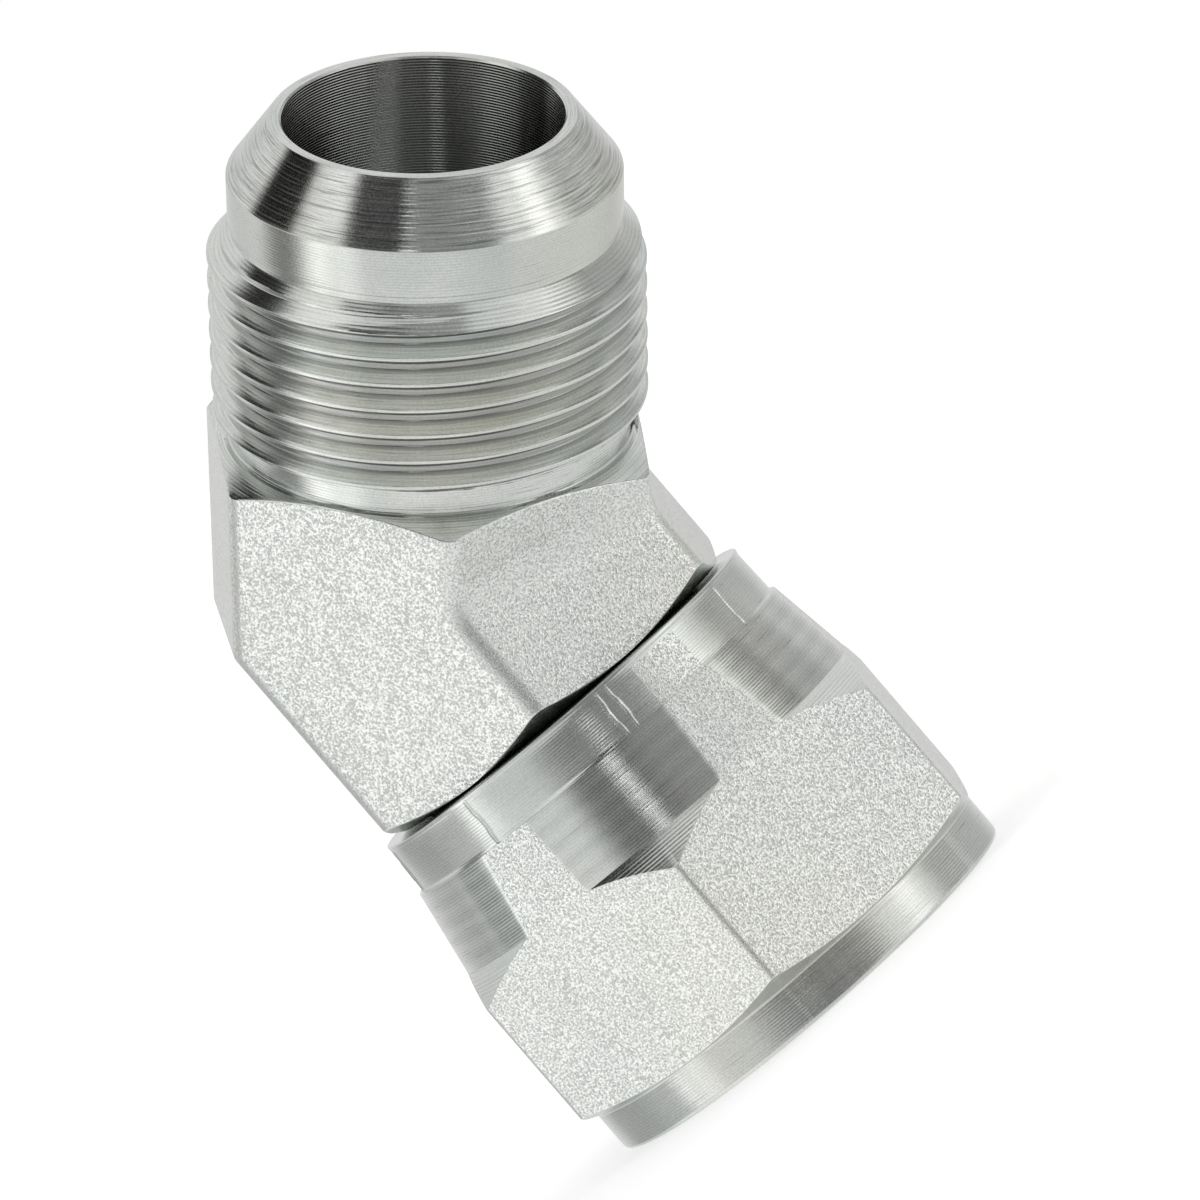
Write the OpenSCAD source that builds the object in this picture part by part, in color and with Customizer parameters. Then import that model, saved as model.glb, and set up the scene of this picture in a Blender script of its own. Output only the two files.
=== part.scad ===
// Swivel elbow fitting for a 37 degree flare joint.
// A forged elbow carries the male flare end and, inside the nut, a headed tail with the hollow seat.
// The hexagonal nut turns freely on the tail and is kept on it by its crimped rear rim.
// Millimetres. The nut's mouth is centred on the origin and its axis is Z.
// The male end leans from the elbow's centre towards +X. The threads are left as plain cylinders.

/* [Layout] */
// Angle between the swivel axis and the axis of the male end
bend_angle = 45; // [30:1:60]
// Height of the elbow's centre above the nut's mouth
centre_height = 44.8; // [43:0.1:60]
// Distance from the elbow's centre to the tip of the male nose
nose_reach = 36.8; // [36:0.1:50]
// Turn of the nut against the forging at rest
nut_turn = 2.6; // [0:0.1:60]

/* [Male end] */
// Outside diameter of the male thread
thread_d = 33.34; // [32.2:0.01:34]
// Length of full thread
thread_length = 12.9; // [10:0.1:14]
// Diameter of the flow passage
bore_d = 21.4; // [16:0.1:22]
// Half angle of the nose cone and of the seat
flare_angle = 37; // [30:0.5:45]
// Length of the nose cone along its axis
cone_length = 4.5; // [3.5:0.1:5]
// Diameter of the plain land behind the cone
land_d = 30; // [29.4:0.1:30.6]
// Length of the land
land_length = 3.7; // [2:0.1:5]
// Length of the tapered start of the thread
lead_length = 2.3; // [1:0.1:3]
// Diameter of the relief between thread and shoulder
relief_d = 30.8; // [29:0.1:31.4]
// Length of the relief
relief_length = 1.9; // [1.2:0.1:3]
// Fillet where the relief meets the shoulder
relief_fillet = 0.5; // [0.2:0.1:0.8]
// Edge break at the mouth of the bore
mouth_break = 0.15; // [0.05:0.05:0.4]

/* [Forging] */
// Width across the forging's flats
leg_flats = 32; // [32:0.1:34]
// Distance from the axis to the sharp back edge, where the dies part
back_edge = 19.45; // [19:0.05:21]
// Rounding of the forging's long edges
leg_edge_r = 1.8; // [0.5:0.1:3]
// Slope of the turned shoulder behind the male end
shoulder_slope = 21; // [10:1:30]
// Distance from the axis where the shoulder falls away more steeply
shoulder_break = 18.2; // [17:0.1:18.8]
// Slope of the shoulder's outer part
shoulder_fall = 55; // [35:1:65]
// Slope of the chamfer on the leg that faces the nut
leg_end_slope = 30; // [15:1:45]

/* [Tail] */
// Diameter of the tail's neck
tail_neck_d = 26.4; // [24.5:0.1:27]
// Fillet between the neck and the leg
tail_fillet = 0.8; // [0.3:0.1:1]
// Depth of the tail's front rim behind the nut's mouth
seat_depth = 18; // [17.5:0.1:20]
// Width of the rim around the seat
seat_rim = 0.9; // [0.5:0.1:1.5]
// Edge break on the head
head_break = 0.3; // [0.1:0.05:0.5]

/* [Swivel nut] */
// Length of the nut
nut_length = 29.8; // [29:0.1:32]
// Width across the nut's flats
nut_flats = 38.1; // [37.6:0.1:40]
// Rounding of the nut's long edges
nut_edge_r = 0.6; // [0.2:0.1:1.5]
// Diameter of the turned collar at the mouth
collar_d = 37.8; // [36.5:0.1:38]
// Height of the collar
collar_length = 3.6; // [2:0.1:5]
// Edge break of the collar
collar_break = 0.45; // [0.1:0.05:0.8]
// Slope of the chamfer on the front corners
front_slope = 24; // [15:1:35]
// Height of the rear corners above the mouth
hex_height = 15.9; // [12:0.1:16]
// Slope of the turned step behind the corners
step_slope = 45; // [30:1:60]
// Diameter of the neck at its foot, before the hexagon
neck_d = 38.7; // [38.4:0.1:41]
// Inward lean of the neck, from the crimping
neck_lean = 9.8; // [5:0.1:12]
// Height of the line where the crimped band starts
crimp_height = 25.45; // [24.5:0.05:26.5]
// Diameter of the crimped band
band_d = 35.7; // [34.5:0.1:36]
// Inward lean of the band
band_lean = 2; // [0:0.1:4]
// Rounding of the rear edge
rear_break = 0.5; // [0.2:0.05:0.8]

/* [Inside the nut] */
// Bore left for the female thread, a little over the male thread
nut_bore_d = 33.44; // [33.4:0.01:34.2]
// Depth of the threaded bore
nut_bore_depth = 15.6; // [14:0.1:16]
// Countersink at the mouth
countersink = 0.4; // [0.2:0.05:0.8]
// Diameter of the chamber around the tail's head
chamber_d = 31; // [30:0.1:31.4]
// Height where the chamber narrows to the rear rim
chamber_top = 24.8; // [24:0.1:25.5]
// Running clearance around the head
head_clearance = 0.15; // [0.1:0.05:0.3]
// Running clearance around the tail's neck
neck_clearance = 0.2; // [0.1:0.05:0.4]
// Gap between the nut's rear face and the forging
rear_gap = 0.2; // [0.1:0.05:0.5]

/* [Hidden] */
$fn = 96;
// Reach of cutting shapes past the surfaces that they cut
past = 1;
// Size of the blocks that cut the neck's flats
block = 60;
// Half angle of the drills that leave the ends of the passages
drill_half_angle = 59;
// Overrun of each end's drill past the elbow's centre, where the male end's goes deeper
male_overrun = 3;
tail_overrun = 1;
// Straight steps in the arc of a rounded edge
arc_steps = 6;

// Male end, radii and heights along its axis from the elbow's centre
thread_r = thread_d / 2;
bore_r = bore_d / 2;
land_r = land_d / 2;
relief_r = relief_d / 2;
nose_r = land_r - cone_length * tan(flare_angle);
land_top = nose_reach - cone_length;
land_foot = land_top - land_length;
thread_top = land_foot - lead_length;
thread_foot = thread_top - thread_length;
thread_depth = thread_r - relief_r;
relief_top = thread_foot - thread_depth / 2;
shoulder_height = relief_top - relief_length;

// Forging
leg_apothem = leg_flats / 2;
leg_corner = leg_apothem / cos(30);
leg_end = nut_length + rear_gap;
knuckle_reach = back_edge * sin(bend_angle) + past;

// Tail and the nut's chamber
chamber_r = chamber_d / 2;
head_r = chamber_r - head_clearance;
tail_neck_r = tail_neck_d / 2;
head_top = chamber_top + chamber_r - head_r - head_clearance;
seat_r = head_r - seat_rim;
rim_r = tail_neck_r + neck_clearance;
rim_foot = chamber_top + chamber_r - rim_r;

// Nut
nut_apothem = nut_flats / 2;
nut_corner = nut_apothem / cos(30);
collar_r = collar_d / 2;
band_r = band_d / 2;
neck_r = neck_d / 2;
nut_bore_r = nut_bore_d / 2;
front_corner = collar_length + (nut_corner - collar_r) * tan(front_slope);
neck_foot = hex_height + (nut_corner - neck_r) * tan(step_slope);
neck_top_r = neck_r - (crimp_height - neck_foot) * tan(neck_lean);
band_top_r = band_r - (nut_length - crimp_height) * tan(band_lean);

// Unit vector along v
function unit(v) = v / norm(v);

// Vector v turned by angle a
function turned(v, a) = [v.x * cos(a) - v.y * sin(a), v.x * sin(a) + v.y * cos(a)];

// Arc of radius r that takes the place of corner i of outline p, which runs anticlockwise
function corner_arc(p, i, r) =
    let (
        n = len(p),
        ahead = unit(p[(i + 1) % n] - p[i]),
        inward = unit(ahead + unit(p[(i + n - 1) % n] - p[i])),
        half = acos(inward * ahead),
        centre = p[i] + inward * r / sin(half)
    )
    [for (k = [0 : arc_steps]) centre - r * turned(inward, (2 * k / arc_steps - 1) * (90 - half))];

// Convex outline p with every corner rounded to radius r
function rounded(p, r) = [for (i = [0 : len(p) - 1]) each corner_arc(p, i, r)];

// Section of a leg, with the inside of the bend towards +X and the parted back edge towards -X
module leg_section() {
    corners = [
        [leg_corner, 0],
        [leg_corner / 2, leg_apothem],
        [-leg_corner / 2, leg_apothem],
        [-back_edge, 0],
        [-leg_corner / 2, -leg_apothem],
        [leg_corner / 2, -leg_apothem]
    ];
    polygon(rounded(corners, leg_edge_r));
}

// Moves its children from the elbow's centre to the male end's axis
module along_male() {
    translate([0, 0, centre_height])
        rotate([0, bend_angle, 0])
            children();
}

// Turned envelope of the shoulder: a shallow cone that falls away faster near the corners
module shoulder_envelope() {
    inner_r = relief_r + relief_fillet;
    break_h = shoulder_height - (shoulder_break - inner_r) * tan(shoulder_slope);
    outer_r = back_edge + past;
    outer_h = break_h - (outer_r - shoulder_break) * tan(shoulder_fall);
    rotate_extrude()
        polygon([
            [0, -past],
            [outer_r, -past],
            [outer_r, outer_h],
            [shoulder_break, break_h],
            [inner_r, shoulder_height],
            [0, shoulder_height]
        ]);
}

// Turned envelope of the leg that faces the nut
module leg_end_envelope() {
    outer_r = back_edge + past;
    rotate_extrude()
        polygon([
            [0, leg_end],
            [leg_apothem, leg_end],
            [outer_r, leg_end + (outer_r - leg_apothem) * tan(leg_end_slope)],
            [outer_r, centre_height + past],
            [0, centre_height + past]
        ]);
}

// Bar of the male leg, from one height to another along its axis
module male_bar(from, to) {
    along_male()
        translate([0, 0, from])
            linear_extrude(to - from)
                leg_section();
}

// Bar of the leg that faces the nut, from one height to another above the mouth
module nut_bar(from, to) {
    translate([0, 0, from])
        linear_extrude(to - from)
            leg_section();
}

// The two hexagonal legs, and the knuckle that both bars share outside the bend
module forging() {
    intersection() {
        male_bar(0, shoulder_height);
        along_male()
            shoulder_envelope();
    }
    intersection() {
        nut_bar(leg_end, centre_height);
        leg_end_envelope();
    }
    intersection() {
        male_bar(-knuckle_reach, past);
        nut_bar(centre_height - past, centre_height + knuckle_reach);
    }
}

// Male end: relief, thread cylinder with tapered start, land and nose cone
module male_end() {
    rotate_extrude() {
        polygon([
            [0, shoulder_height - past],
            [relief_r, shoulder_height - past],
            [relief_r, relief_top],
            [thread_r, thread_foot],
            [thread_r, thread_top],
            [land_r, land_foot],
            [land_r, land_top],
            [nose_r, nose_reach],
            [0, nose_reach]
        ]);
        translate([relief_r, shoulder_height])
            fillet_profile(relief_fillet);
    }
}

// Profile of a concave fillet in the corner between +X and +Y
module fillet_profile(r) {
    difference() {
        translate([-past / 2, -past / 2])
            square(r + past / 2);
        translate([r, r])
            circle(r);
    }
}

// Tail inside the nut: neck, head with sloped back, and the rim around the seat
module tail() {
    rotate_extrude() {
        polygon([
            [0, seat_depth],
            [head_r - head_break, seat_depth],
            [head_r, seat_depth + head_break],
            [head_r, head_top],
            [tail_neck_r, head_top + head_r - tail_neck_r],
            [tail_neck_r, leg_end + past],
            [0, leg_end + past]
        ]);
        translate([tail_neck_r, leg_end])
            mirror([0, 1])
                fillet_profile(tail_fillet);
    }
}

// Cone left by a drill, pointing down from the origin
module drill_point() {
    tip = bore_r / tan(drill_half_angle);
    translate([0, 0, -tip])
        cylinder(h = tip, r1 = 0, r2 = bore_r);
}

// The passage: one bore along each axis, ending in drill points past the elbow's centre
module passage() {
    along_male() {
        translate([0, 0, -male_overrun]) {
            cylinder(h = nose_reach + male_overrun + past, r = bore_r);
            drill_point();
        }
        translate([0, 0, nose_reach - mouth_break])
            cylinder(h = mouth_break + past, r1 = bore_r, r2 = bore_r + mouth_break + past);
    }
    translate([0, 0, centre_height + tail_overrun])
        mirror([0, 0, 1]) {
            cylinder(h = centre_height + tail_overrun - seat_depth + past, r = bore_r);
            drill_point();
        }
}

// Hollow cone that the mating flare nose seats in
module seat() {
    depth = (seat_r - bore_r) / tan(flare_angle);
    slope = tan(flare_angle);
    translate([0, 0, seat_depth - past])
        cylinder(h = depth + past, r1 = seat_r + past * slope, r2 = bore_r);
}

module elbow_body() {
    color("silver")
        difference() {
            union() {
                forging();
                along_male()
                    male_end();
                tail();
            }
            passage();
            seat();
        }
}

// Turned outline of the nut, before the flats are cut
module nut_envelope() {
    rotate_extrude()
        polygon([
            [0, 0],
            [collar_r - collar_break, 0],
            [collar_r, collar_break],
            [collar_r, collar_length],
            [nut_corner, front_corner],
            [nut_corner, hex_height],
            [neck_r, neck_foot],
            [neck_top_r, crimp_height],
            [band_r, crimp_height],
            [band_top_r, nut_length - rear_break],
            [band_top_r - rear_break, nut_length],
            [0, nut_length]
        ]);
}

// Hexagonal bar that the nut is turned from, with flats towards +Y and -Y
module nut_hexagon() {
    corners = [for (i = [0 : 5]) nut_corner * [cos(60 * i), sin(60 * i)]];
    linear_extrude(nut_length)
        polygon(rounded(corners, nut_edge_r));
}

// Blocks that cut the flats of the leaning neck, up to the crimped band
module neck_flat_cuts() {
    for (i = [0 : 5])
        intersection() {
            rotate([0, 0, 30 + 60 * i])
                translate([nut_apothem, 0, neck_foot])
                    rotate([0, -neck_lean, 0])
                        translate([0, -block / 2, 0])
                            cube(block);
            cylinder(h = crimp_height, r = block);
        }
}

// Space inside the nut: countersink, thread bore, chamber and rear rim.
// The rear rim's edge is cut back by the tail's fillet, which it has to clear.
module nut_inside() {
    rotate_extrude()
        polygon([
            [0, -past],
            [nut_bore_r + countersink + past, -past],
            [nut_bore_r, countersink],
            [nut_bore_r, nut_bore_depth],
            [chamber_r, nut_bore_depth + nut_bore_r - chamber_r],
            [chamber_r, chamber_top],
            [rim_r, rim_foot],
            [rim_r, nut_length - tail_fillet],
            [rim_r + tail_fillet + past, nut_length + past],
            [0, nut_length + past]
        ]);
}

module swivel_nut() {
    color("lightgray")
        rotate([0, 0, nut_turn])
            difference() {
                intersection() {
                    nut_envelope();
                    nut_hexagon();
                }
                neck_flat_cuts();
                nut_inside();
            }
}

elbow_body();
swivel_nut();
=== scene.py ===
# Looks of a swivel elbow fitting for a 37 degree flare joint.
# The forged elbow and the crimped nut are made here as detailed closed meshes with their threads.
# Lengths are in millimetres in the shape code and become metres when a mesh is made.
# Frame: the nut's mouth is centred on the origin, +Z is the swivel axis, the male end leans towards +X.
import math

import bmesh
import bpy
import numpy as np
from mathutils import Matrix


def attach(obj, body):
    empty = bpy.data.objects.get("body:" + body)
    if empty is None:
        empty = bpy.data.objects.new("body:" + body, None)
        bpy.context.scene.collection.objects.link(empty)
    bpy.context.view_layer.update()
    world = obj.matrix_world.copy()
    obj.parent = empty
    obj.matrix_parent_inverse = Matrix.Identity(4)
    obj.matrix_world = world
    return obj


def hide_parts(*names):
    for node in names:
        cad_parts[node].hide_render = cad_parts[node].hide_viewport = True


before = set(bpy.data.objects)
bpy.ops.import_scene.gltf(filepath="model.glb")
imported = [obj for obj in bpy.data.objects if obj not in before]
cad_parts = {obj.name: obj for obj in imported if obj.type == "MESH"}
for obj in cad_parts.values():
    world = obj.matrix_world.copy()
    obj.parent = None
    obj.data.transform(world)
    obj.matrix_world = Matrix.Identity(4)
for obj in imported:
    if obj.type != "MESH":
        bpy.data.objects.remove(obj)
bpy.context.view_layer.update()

MM = 0.001
TURN = 2 * math.pi
SIDE = TURN / 6

# Layout
BEND = math.radians(45)
CENTRE_HEIGHT = 44.8
NUT_TURN = math.radians(2.6)
FLARE = math.radians(37)
PITCH = 25.4 / 12

# Male end, radii and heights along its axis from the elbow's centre
BORE_R = 10.7
MOUTH_BREAK = 0.15
NOSE_REACH = 36.8
LAND_TOP = 32.3
LAND_FOOT = 28.6
LAND_R = 15.0
NOSE_R = LAND_R - (NOSE_REACH - LAND_TOP) * math.tan(FLARE)
THREAD_R = 16.67
THREAD_TOP = 26.3
THREAD_FOOT = 13.4
THREAD_DEPTH = 0.5413 * PITCH
THREAD_CREST_ROUND = 0.08
THREAD_ROOT_ROUND = 0.22
RELIEF_R = 15.4
RELIEF_TOP = 12.765
RELIEF_FILLET = 0.5
GROOVE_TOP = 28.5
GROOVE_FOOT = 27.9
GROOVE_R = 14.8
GROOVE_MOUTH_R = GROOVE_R + 0.15
# Height of a crest's middle, and the angle around the axis where it was measured
CREST_HEIGHT = 26.43
CREST_ANGLE = math.radians(-65)

# Forging
LEG_APOTHEM = 16.0
LEG_CORNER = LEG_APOTHEM / math.cos(math.radians(30))
BACK_EDGE = 19.45
LEG_EDGE_R = 1.8
LEG_END_ROUND = 0.22
SHOULDER_H = 10.865
SHOULDER_INNER_R = RELIEF_R + RELIEF_FILLET
SHOULDER_SLOPE = math.radians(21)
SHOULDER_BREAK = 18.2
SHOULDER_FALL = math.radians(55)
# Width of the first turned rows inside the shoulder's outer edge
SHOULDER_EDGE = 0.5
LEG_END = 30.0
LEG_END_SLOPE = math.radians(30)
INNER_BLEND_R = 5.0
OUTER_BLEND_R = 0.8
# Angle from the inside of the bend where the blend starts to tighten, and over which it does
BLEND_START = math.radians(70)
BLEND_SPAN = math.radians(45)

# Tail
TAIL_NECK_R = 13.2
TAIL_FILLET = 0.8
HEAD_R = 15.35
HEAD_TOP = 24.8
SEAT_DEPTH = 18.0
SEAT_R = 14.45
HEAD_BREAK = 0.3

# Nut
NUT_LENGTH = 29.8
NUT_APOTHEM = 19.05
NUT_CORNER = NUT_APOTHEM / math.cos(math.radians(30))
NUT_EDGE_R = 0.6
COLLAR_R = 18.9
COLLAR_LENGTH = 3.6
COLLAR_BREAK = 0.45
FRONT_SLOPE = math.radians(24)
HEX_HEIGHT = 15.9
NECK_R = 19.35
NECK_FOOT = HEX_HEIGHT + NUT_CORNER - NECK_R
NECK_LEAN = math.radians(9.8)
FLAT_LEAN = math.radians(8.7)
CRIMP_HEIGHT = 25.45
BAND_R = 17.85
BAND_TOP_R = 17.698
BAND_STEP = 0.3
REAR_BREAK = 0.5
NUT_BORE_R = 16.72
NUT_BORE_DEPTH = 15.6
NUT_CREST_ROUND = 0.1
NUT_ROOT_ROUND = 0.12
COUNTERSINK = 0.4
CHAMBER_R = 15.5
CHAMBER_TOP = 24.8
RIM_R = 13.4
RIM_FOOT = 26.9
# Sides of the nut on which the blasted finish goes on over the crimped band
BLASTED_SIDES = (1, 3, 5)

# Marks of the eight crimping dies: the first burr's angle, every second one is a pair
DIES = 8
DIE_SPAN = TURN / DIES
CRIMP_FIRST = math.radians(-89.7)
CRIMP_PAIR = math.radians(3.3)
CRIMP_BURR = 0.06
CRIMP_BURR_WIDTH = math.radians(0.35)
CRIMP_FLATTEN = 0.16
# A burr wanders by this share of its width, and each one in its own way
BURR_WANDER = 0.55
BURR_STEP = 2.3
# The wandering over the band's height: reach, radians to the millimetre, start
BURR_WAVES = [(1.6, 1.9, 0.0), (0.8, 6.1, 1.0)]
# Depth of the strip between a pair, as a share of the burr, and where its edges rise
STRIP_DEPTH = 0.6
STRIP_EDGE = 1.2

# Mesh: the widest angle between columns, and the rows of each stretch
COLUMN_STEP = math.radians(1.25)
BEND_ROWS = 13
SHOULDER_ROWS = 14
MALE_BORE_ROWS = 24
TAIL_BORE_ROWS = 16
NECK_ROWS = 15
BAND_ROWS = 14
# A rounding takes up at most this share of the shorter side of its corner
ROUNDING_SHARE = 0.48
# Cosine of the sharpest turn that a rounding is worked out for
SHARPEST = -0.999
# A length that keeps a side from being zero
TINY = 1e-9
# Distances in metres at which points join and below which an edge is dropped
WELD = 2e-6
SHORTEST_EDGE = 1e-7
# Edges that turn more than this stay sharp in the shading
SHARP_ANGLE = math.radians(32)
SHADING_WEIGHT = 60

# The elbow's centre, the way across the bend's plane, and each end's axis and inner side
CENTRE = np.array([0, 0, CENTRE_HEIGHT])
ACROSS = np.array([0, 1, 0])
MALE_AXIS = np.array([math.sin(BEND), 0, math.cos(BEND)])
MALE_INNER = np.array([math.cos(BEND), 0, -math.sin(BEND)])
TAIL_AXIS = np.array([0, 0, -1])
TAIL_INNER = np.array([1, 0, 0])

# Material slots of both meshes
FORGED = 0
TURNED = 1
INSIDE = 2


def unit(v):
    return v / np.linalg.norm(v)


def rotated(v, angle):
    c = math.cos(angle)
    s = math.sin(angle)
    return np.array([v[0] * c - v[1] * s, v[0] * s + v[1] * c])


def wrapped(angle):
    """Angle brought to within half a turn of zero."""
    return (angle + math.pi) % TURN - math.pi


def rounded_outline(corners, radius, steps):
    """Convex anticlockwise outline with every corner rounded by an arc of that many points."""
    points = []
    for i, corner in enumerate(corners):
        ahead = unit(corners[(i + 1) % len(corners)] - corner)
        inward = unit(ahead + unit(corners[i - 1] - corner))
        half = math.acos(inward @ ahead)
        centre = corner + inward * radius / math.sin(half)
        swing = math.pi / 2 - half
        for turn in np.linspace(-swing, swing, steps):
            points.append(centre - radius * rotated(inward, turn))
    return np.array(points)


def polar_radius(outline, angles):
    """Distance from the centre to a convex outline along each angle."""
    start = np.arctan2(outline[:, 1], outline[:, 0]) % TURN
    outline = outline[np.argsort(start)]
    start = np.sort(start)
    ahead = np.searchsorted(start, np.asarray(angles) % TURN, side="right") % len(start)
    p, q = outline[ahead - 1], outline[ahead]
    cross = p[:, 0] * q[:, 1] - p[:, 1] * q[:, 0]
    edge = q - p
    return cross / (np.cos(angles) * edge[:, 1] - np.sin(angles) * edge[:, 0])


def spread_angles(special):
    """Sorted angles over one turn: the special ones, with others between them at most a step apart."""
    special = np.unique(np.round(np.asarray(special) % TURN, 6))
    angles = []
    for a, b in zip(special, np.append(special[1:], special[0] + TURN)):
        count = max(1, math.ceil((b - a) / COLUMN_STEP - 1e-6))
        angles += list(a + (b - a) * np.arange(count) / count)
    return np.array(angles)


def rounded_profile(corners, radii, steps):
    """Profile through corners, shaped (..., K, 2), with its inner corners rounded.

    Returns the points, shaped (..., rows, 2), and the row at the middle of each corner.
    """
    corners = np.asarray(corners, float)
    rows = [corners[..., 0, :]]
    middles = [0]
    for k in range(1, corners.shape[-2] - 1):
        here = corners[..., k, :]
        if radii[k] == 0:
            middles.append(len(rows))
            rows.append(here)
            continue
        back = corners[..., k - 1, :] - here
        ahead = corners[..., k + 1, :] - here
        back_length = np.linalg.norm(back, axis=-1, keepdims=True) + TINY
        ahead_length = np.linalg.norm(ahead, axis=-1, keepdims=True) + TINY
        back = back / back_length
        ahead = ahead / ahead_length
        cosine = np.clip(-(back * ahead).sum(-1, keepdims=True), SHARPEST, 1)
        reach = radii[k] * np.sqrt((1 - cosine) / (1 + cosine))
        reach = np.minimum(reach, ROUNDING_SHARE * np.minimum(back_length, ahead_length))
        start = here + back * reach
        end = here + ahead * reach
        middles.append(len(rows) + steps // 2)
        for s in np.linspace(0, 1, steps):
            rows.append((1 - s) ** 2 * start + 2 * s * (1 - s) * here + s * s * end)
    middles.append(len(rows))
    rows.append(corners[..., -1, :])
    return np.stack(np.broadcast_arrays(*rows), -2), middles


def table_profile(table, steps):
    """Turned profile (rows, 2) from a table of radius, height and rounding."""
    table = np.array(table, float)
    return rounded_profile(table[:, :2], table[:, 2], steps)[0]


def column_corners(count, corners):
    """Corners of a profile for each of that many columns, shaped (columns, corners, 2)."""
    columns = np.zeros(count)
    pairs = [np.broadcast_arrays(radius, height, columns)[:2] for radius, height in corners]
    return np.stack([np.stack(pair, -1) for pair in pairs], -2)


def refined(rows, longest):
    """Profile rows (rows, 2) with extra rows where two lie further apart than longest."""
    result = [rows[0]]
    for a, b in zip(rows, rows[1:]):
        count = max(1, math.ceil(np.linalg.norm(b - a) / longest))
        result += [a + (b - a) * (i + 1) / count for i in range(count)]
    return np.array(result)


class Skin:
    """A closed mesh collected from grids of points, which join where their edges meet."""

    def __init__(self):
        self.points = []
        self.faces = []
        self.finishes = []
        self.count = 0

    def grid(self, points, finish, shift=0):
        """Adds (rows, columns, 3) points as quads. The last column joins the first, shift rows up.

        The finish is one number, or one for each column.
        """
        rows, columns = points.shape[:2]
        self.points.append(points.reshape(-1, 3))
        index = self.count + np.arange(rows * columns).reshape(rows, columns)
        moved = np.minimum(np.arange(rows) + shift, rows - 1)
        index = np.concatenate([index, index[moved][:, :1]], axis=1)
        quads = np.stack([index[:-1, :-1], index[:-1, 1:], index[1:, 1:], index[1:, :-1]], -1)
        self.faces.append(quads.reshape(-1, 4))
        self.finishes.append(np.broadcast_to(finish, (rows - 1, columns)).reshape(-1))
        self.count += rows * columns

    def build(self, name, materials):
        """Welds the grids into one object and prints whether it is closed."""
        mesh = bpy.data.meshes.new(name)
        points = np.concatenate(self.points) * MM
        mesh.from_pydata(points.tolist(), [], np.concatenate(self.faces).tolist())
        mesh.polygons.foreach_set("material_index", np.concatenate(self.finishes).astype(np.int32))
        for material in materials:
            mesh.materials.append(material)
        work = bmesh.new()
        work.from_mesh(mesh)
        bmesh.ops.remove_doubles(work, verts=work.verts, dist=WELD)
        bmesh.ops.dissolve_degenerate(work, edges=work.edges, dist=SHORTEST_EDGE)
        loose = [v for v in work.verts if not v.link_faces]
        bmesh.ops.delete(work, geom=loose, context="VERTS")
        bmesh.ops.recalc_face_normals(work, faces=work.faces)
        work.to_mesh(mesh)
        open_edges = sum(1 for e in work.edges if len(e.link_faces) != 2)
        volume = work.calc_volume() / MM**3
        work.free()
        print(f"{name}: {len(mesh.polygons)} faces, {open_edges} open edges, {volume:.0f} mm3")
        for polygon in mesh.polygons:
            polygon.use_smooth = True
        mesh.set_sharp_from_angle(angle=SHARP_ANGLE)
        piece = bpy.data.objects.new(name, mesh)
        bpy.context.scene.collection.objects.link(piece)
        weighted = piece.modifiers.new("even_shading", "WEIGHTED_NORMAL")
        weighted.keep_sharp = True
        weighted.weight = SHADING_WEIGHT
        return piece


def placed(radius, height, angles, inner, axis):
    """Points at radius, angle and height in an axis frame through the elbow's centre."""
    radius, height = np.broadcast_arrays(radius, height)
    flat = radius[..., None] * (np.cos(angles)[:, None] * inner + np.sin(angles)[:, None] * ACROSS)
    return CENTRE + flat + height[..., None] * axis


def revolved(profile, angles, inner, axis):
    """Grid of a turned profile (rows, 2) of radius and height."""
    ones = np.ones(len(angles))
    return placed(profile[:, :1] * ones, profile[:, 1:] * ones, angles, inner, axis)


def thread_profile(crest_r, root_r, crest_round, root_round):
    """One pitch of a thread, from the middle of one root to the next, as rows of height and radius."""
    corners = [
        [-PITCH / 2, root_r],
        [-PITCH * 3 / 8, root_r],
        [-PITCH / 16, crest_r],
        [PITCH / 16, crest_r],
        [PITCH * 3 / 8, root_r],
        [PITCH / 2, root_r],
    ]
    rows = rounded_profile(corners, [0, root_round, crest_round, crest_round, root_round, 0], 5)[0]
    return refined(rows, PITCH / 20)


def helix_grid(profile, angles, low, high, centre_height, limit):
    """Heights and radii of a right-hand thread between two heights, held by a turned limit.

    Rows climb one pitch each turn, so the grid's last column joins the first a profile further up.
    Spare turns at both ends lie flat on the two heights.
    """
    per_turn = len(profile) - 1
    turns = math.ceil((high - low) / PITCH) + 3
    first = math.floor((low - centre_height) / PITCH) - 2
    offsets = np.concatenate([profile[:-1, 0] + PITCH * (first + n) for n in range(turns + 1)])
    radii = np.tile(profile[:-1, 1], turns + 1)
    heights = centre_height + offsets[:, None] + PITCH * angles[None, :] / TURN
    heights = np.clip(heights, low, high)
    radii = limit(heights, np.repeat(radii[:, None], len(angles), axis=1))
    return heights, radii, per_turn


def leg_outline(steps):
    """Section of a leg: a hexagon whose corner outside the bend is cut off, with rounded edges."""
    corners = np.array([
        [LEG_CORNER, 0],
        [LEG_CORNER / 2, LEG_APOTHEM],
        [-LEG_CORNER / 2, LEG_APOTHEM],
        [-BACK_EDGE, 0],
        [-LEG_CORNER / 2, -LEG_APOTHEM],
        [LEG_CORNER / 2, -LEG_APOTHEM],
    ])
    return rounded_outline(corners, LEG_EDGE_R, steps)


def elbow_columns():
    """Angles of the elbow's columns and the forging's radius at each."""
    arcs = leg_outline(9)
    angles = spread_angles(np.arctan2(arcs[:, 1], arcs[:, 0]))
    return angles, polar_radius(leg_outline(33), angles)


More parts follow.
